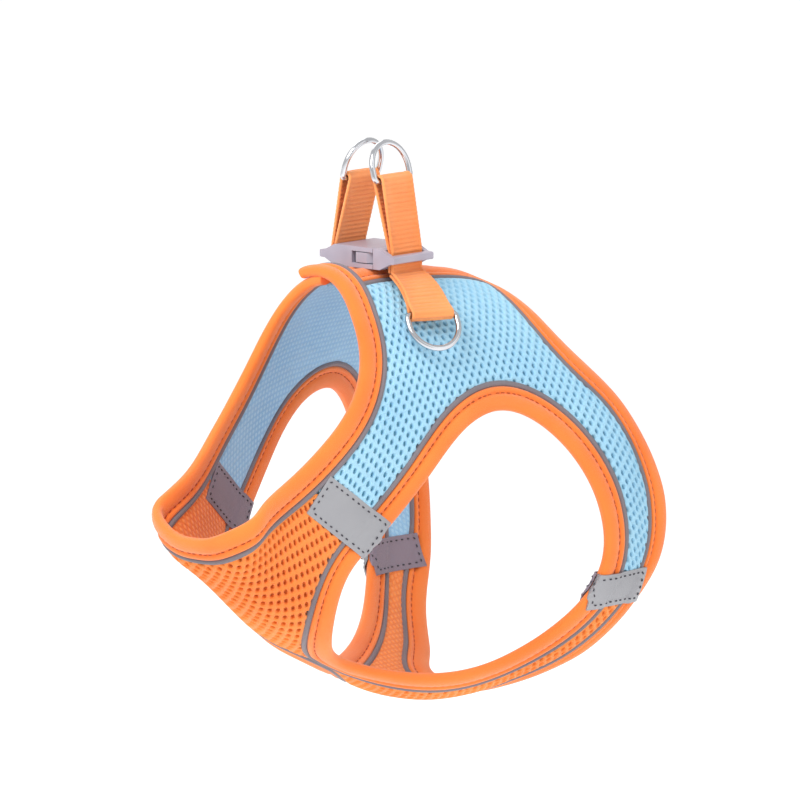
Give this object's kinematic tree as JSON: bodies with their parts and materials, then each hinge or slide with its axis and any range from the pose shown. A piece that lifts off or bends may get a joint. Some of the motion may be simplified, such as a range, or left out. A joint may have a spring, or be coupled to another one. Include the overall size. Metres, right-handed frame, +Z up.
{
  "type": "no pull dog harness",
  "caption": "Step-in mesh vest harness with padded edges, reflective tabs, webbing straps, D-rings and a side-release buckle on the back.",
  "frame": {"origin": "the point where one hook or leash clip takes both upper D-rings, 48 mm above the buckle's centre", "axes": "+Z up, -X towards the dog's head, -Y to the dog's left side"},
  "size_m": [0.2354, 0.1468, 0.2503],
  "materials": {
    "orange_mesh": "air mesh",
    "blue_mesh": "air mesh",
    "blue_lining": "air mesh",
    "orange_binding": "soft padded binding",
    "grey_piping": "reflective piping",
    "reflective_tab": "reflective tape",
    "closure_tape": "hook and loop",
    "orange_webbing": "ribbed webbing",
    "ring_steel": "polished nickel",
    "buckle_plastic": "satin moulded"
  },
  "bodies": {
    "vest": {"chest_mesh": "orange_mesh", "chest_lining": "orange_mesh", "left_side_mesh": "blue_mesh", "right_side_mesh": "blue_mesh", "left_side_lining": "blue_lining", "right_side_lining": "blue_lining", "neck_binding": "orange_binding", "left_back_binding": "orange_binding", "right_back_binding": "orange_binding", "left_leg_binding": "orange_binding", "right_leg_binding": "orange_binding", "neck_piping": "grey_piping", "left_back_piping": "grey_piping", "right_back_piping": "grey_piping", "left_leg_piping": "grey_piping", "right_leg_piping": "grey_piping", "left_front_tab": "reflective_tab", "right_front_tab": "reflective_tab", "left_rear_tab": "reflective_tab", "right_rear_tab": "reflective_tab", "left_front_inner_tab": "reflective_tab", "right_front_inner_tab": "reflective_tab", "left_rear_inner_tab": "reflective_tab", "right_rear_inner_tab": "reflective_tab", "hook_tape": "closure_tape", "loop_tape": "closure_tape", "closure_flap": "blue_lining", "right_strap": "orange_webbing", "left_shoulder_strap": "orange_webbing", "right_shoulder_strap": "orange_webbing", "buckle_socket": "buckle_plastic"},
    "buckle_plug_half": {"buckle_plug": "buckle_plastic", "left_strap": "orange_webbing"},
    "front_arm": {"front_release_arm": "buckle_plastic"},
    "rear_arm": {"rear_release_arm": "buckle_plastic"},
    "left_upper_ring_body": {"left_upper_ring": "ring_steel"},
    "right_upper_ring_body": {"right_upper_ring": "ring_steel"},
    "left_lower_ring_body": {"left_lower_ring": "ring_steel"},
    "right_lower_ring_body": {"right_lower_ring": "ring_steel"}
  },
  "joints": [
    {"name": "buckle_release", "type": "slide", "parent": "vest", "child": "buckle_plug_half", "axis": [0, -1, 0], "range_m": [0, 0.022], "deforming": ["left_shoulder_strap"]},
    {"name": "front_arm_press", "type": "hinge", "parent": "buckle_plug_half", "child": "front_arm", "pos_m": [-0.009, -0.0083, -0.048], "axis": [0, 0, -1], "range_deg": [0, 8], "stiffness_Nm_per_rad": 0.02},
    {"name": "rear_arm_press", "type": "hinge", "parent": "buckle_plug_half", "child": "rear_arm", "pos_m": [0.009, -0.0083, -0.048], "axis": [0, 0, 1], "range_deg": [0, 8], "stiffness_Nm_per_rad": 0.02},
    {"name": "left_upper_ring_swing", "type": "hinge", "parent": "buckle_plug_half", "child": "left_upper_ring_body", "pos_m": [0, -0.0095, -0.01466], "axis": [1, 0, 0], "range_deg": [-8, 100]},
    {"name": "right_upper_ring_swing", "type": "hinge", "parent": "vest", "child": "right_upper_ring_body", "pos_m": [0, 0.0095, -0.01466], "axis": [-1, 0, 0], "range_deg": [-8, 100]},
    {"name": "left_lower_ring_swing", "type": "hinge", "parent": "vest", "child": "left_lower_ring_body", "pos_m": [-0.0052, -0.0357, -0.0703], "axis": [-0.9207, 0.3903, 0], "range_deg": [0, 110]},
    {"name": "right_lower_ring_swing", "type": "hinge", "parent": "vest", "child": "right_lower_ring_body", "pos_m": [-0.0052, 0.0357, -0.0703], "axis": [0.9207, 0.3903, 0], "range_deg": [0, 110]}
  ]
}
